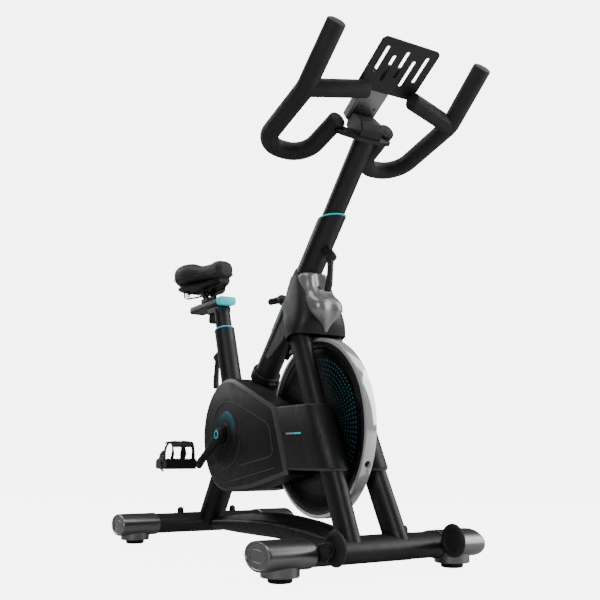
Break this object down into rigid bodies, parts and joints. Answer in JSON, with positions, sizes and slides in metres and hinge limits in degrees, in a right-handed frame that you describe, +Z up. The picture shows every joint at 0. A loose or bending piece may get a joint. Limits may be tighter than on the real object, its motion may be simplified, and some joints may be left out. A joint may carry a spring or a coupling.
{
  "type": "indoor spin bike",
  "caption": "Belt-driven indoor cycling bike with a front flywheel, adjustable saddle and handlebar, toe-cage pedals, tablet rest and levelling feet.",
  "frame": {"origin": "on the floor under the middle of the bike", "axes": "+X forward, +Y to the rider's left, +Z up"},
  "size_m": [1.3233, 0.61, 1.2638],
  "materials": {
    "black_paint": "satin black powder coat",
    "teal": "satin turquoise plastic",
    "black_plastic": "satin black moulded plastic",
    "satin_silver": "satin silver-grey",
    "rubber": "matt black",
    "steel": "plain machined steel",
    "chrome": "polished",
    "leather": "matt black synthetic leather"
  },
  "bodies": {
    "frame": {"main_tube": "black_paint", "mast_ring": "teal", "seat_tube": "black_paint", "seat_ring": "teal", "rear_strut": "black_paint", "base_rail": "black_paint", "front_stabiliser": "black_paint", "rear_stabiliser": "black_paint", "fork_leg_right": "black_paint", "fork_leg_left": "black_paint", "head_shroud": "black_plastic", "head_trim": "satin_silver", "tube_collar": "black_plastic", "bottom_bracket": "black_paint", "drive_cover_right": "black_plastic", "drive_cover_left": "black_plastic", "axle_cover_right": "black_plastic", "flywheel_axle": "steel", "end_cap_front_right": "satin_silver", "end_cap_front_left": "satin_silver", "end_cap_rear_right": "satin_silver", "end_cap_rear_left": "satin_silver", "wheel_bracket_right": "black_paint", "wheel_bracket_left": "black_paint", "drive_belt": "rubber"},
    "foot_front_right": {"levelling_foot_front_right": "rubber"},
    "foot_front_left": {"levelling_foot_front_left": "rubber"},
    "foot_rear_right": {"levelling_foot_rear_right": "rubber"},
    "foot_rear_left": {"levelling_foot_rear_left": "rubber"},
    "front_wheel_right": {"transport_wheel_right": "rubber"},
    "front_wheel_left": {"transport_wheel_left": "rubber"},
    "flywheel": {"flywheel_rim": "chrome", "flywheel_disc": "black_paint", "flywheel_pulley": "steel"},
    "crank": {"crank_axle": "steel", "crank_pulley": "steel", "crank_arm_right": "black_paint", "crank_arm_left": "black_paint"},
    "right_pedal": {"pedal_right": "black_plastic", "toe_cage_right": "black_plastic"},
    "left_pedal": {"pedal_left": "black_plastic", "toe_cage_left": "black_plastic"},
    "brake_push_rod": {"brake_rod": "steel"},
    "brake_knob": {"resistance_knob": "black_plastic"},
    "brake_shoe": {"brake_bracket": "steel"},
    "mast": {"mast_post": "black_paint", "handlebar_right": "black_paint", "handlebar_left": "black_paint", "handlebar_bracket": "black_paint", "console_bracket": "steel", "tablet_plate": "black_paint"},
    "mast_clamp_lever": {"mast_lever": "black_plastic"},
    "seat_clamp_lever": {"seat_lever": "black_plastic"},
    "saddle_post": {"seat_post": "black_paint"},
    "saddle_clamp_knob": {"slide_knob": "black_plastic"},
    "saddle": {"slide_rail": "black_paint", "slide_cap": "teal", "saddle_clamp": "black_paint", "saddle_base": "black_plastic", "saddle_pad": "leather"}
  },
  "joints": [
    {"name": "flywheel_spin", "type": "hinge", "parent": "frame", "child": "flywheel", "pos_m": [0.2135, 0, 0.348], "axis": [0, 1, 0], "continuous": true},
    {"name": "crank_spin", "type": "hinge", "parent": "frame", "child": "crank", "pos_m": [-0.161, 0, 0.334], "axis": [0, 1, 0], "continuous": true},
    {"name": "pedal_right_spin", "type": "hinge", "parent": "crank", "child": "right_pedal", "pos_m": [-0.305, -0.195, 0.24747], "axis": [0, 1, 0], "continuous": true},
    {"name": "pedal_left_spin", "type": "hinge", "parent": "crank", "child": "left_pedal", "pos_m": [-0.017, 0.195, 0.42053], "axis": [0, 1, 0], "continuous": true},
    {"name": "handlebar_height", "type": "slide", "parent": "frame", "child": "mast", "axis": [0.682, 0, 0.7314], "range_m": [-0.08, 0.08]},
    {"name": "mast_lever_turn", "type": "hinge", "parent": "frame", "child": "mast_clamp_lever", "pos_m": [0.22226, 0, 0.848], "axis": [0.7314, 0, -0.682], "range_deg": [-90, 90]},
    {"name": "seat_height", "type": "slide", "parent": "frame", "child": "saddle_post", "axis": [-0.3321, 0, 0.9432], "range_m": [-0.05, 0.1]},
    {"name": "seat_lever_turn", "type": "hinge", "parent": "frame", "child": "seat_clamp_lever", "pos_m": [-0.368, 0, 0.625], "axis": [-0.9432, 0, -0.3321], "range_deg": [-90, 90]},
    {"name": "saddle_slide", "type": "slide", "parent": "saddle_post", "child": "saddle", "axis": [1, 0, 0], "range_m": [-0.04, 0.04]},
    {"name": "slide_knob_turn", "type": "hinge", "parent": "saddle_post", "child": "saddle_clamp_knob", "pos_m": [-0.466, 0, 0.74], "axis": [0, 0, 1], "range_deg": [-180, 180]},
    {"name": "brake_push", "type": "slide", "parent": "frame", "child": "brake_push_rod", "axis": [0.908, 0, -0.4191], "range_m": [0, 0.006], "stiffness_N_per_m": 1500},
    {"name": "resistance_turn", "type": "hinge", "parent": "brake_push_rod", "child": "brake_knob", "pos_m": [0.07679, 0, 0.692], "axis": [-0.908, 0, 0.4191], "range_deg": [-360, 360]},
    {"name": "brake_shoe_swing", "type": "hinge", "parent": "frame", "child": "brake_shoe", "pos_m": [0.088, 0, 0.6], "axis": [0, 1, 0], "range_deg": [0, 1], "stiffness_Nm_per_rad": 4},
    {"name": "front_wheel_right_spin", "type": "hinge", "parent": "frame", "child": "front_wheel_right", "pos_m": [0.539, -0.166, 0.076], "axis": [0, 1, 0], "continuous": true},
    {"name": "front_wheel_left_spin", "type": "hinge", "parent": "frame", "child": "front_wheel_left", "pos_m": [0.539, 0.166, 0.076], "axis": [0, 1, 0], "continuous": true},
    {"name": "foot_front_right_turn", "type": "hinge", "parent": "frame", "child": "foot_front_right", "pos_m": [0.439, -0.246, 0], "axis": [0, 0, 1], "range_deg": [-360, 360]},
    {"name": "foot_front_left_turn", "type": "hinge", "parent": "frame", "child": "foot_front_left", "pos_m": [0.439, 0.246, 0], "axis": [0, 0, 1], "range_deg": [-360, 360]},
    {"name": "foot_rear_right_turn", "type": "hinge", "parent": "frame", "child": "foot_rear_right", "pos_m": [-0.501, -0.246, 0], "axis": [0, 0, 1], "range_deg": [-360, 360]},
    {"name": "foot_rear_left_turn", "type": "hinge", "parent": "frame", "child": "foot_rear_left", "pos_m": [-0.501, 0.246, 0], "axis": [0, 0, 1], "range_deg": [-360, 360]}
  ],
  "couplings": [
    {"joint": "crank_spin", "follows": "flywheel_spin", "ratio": 0.28571}
  ]
}
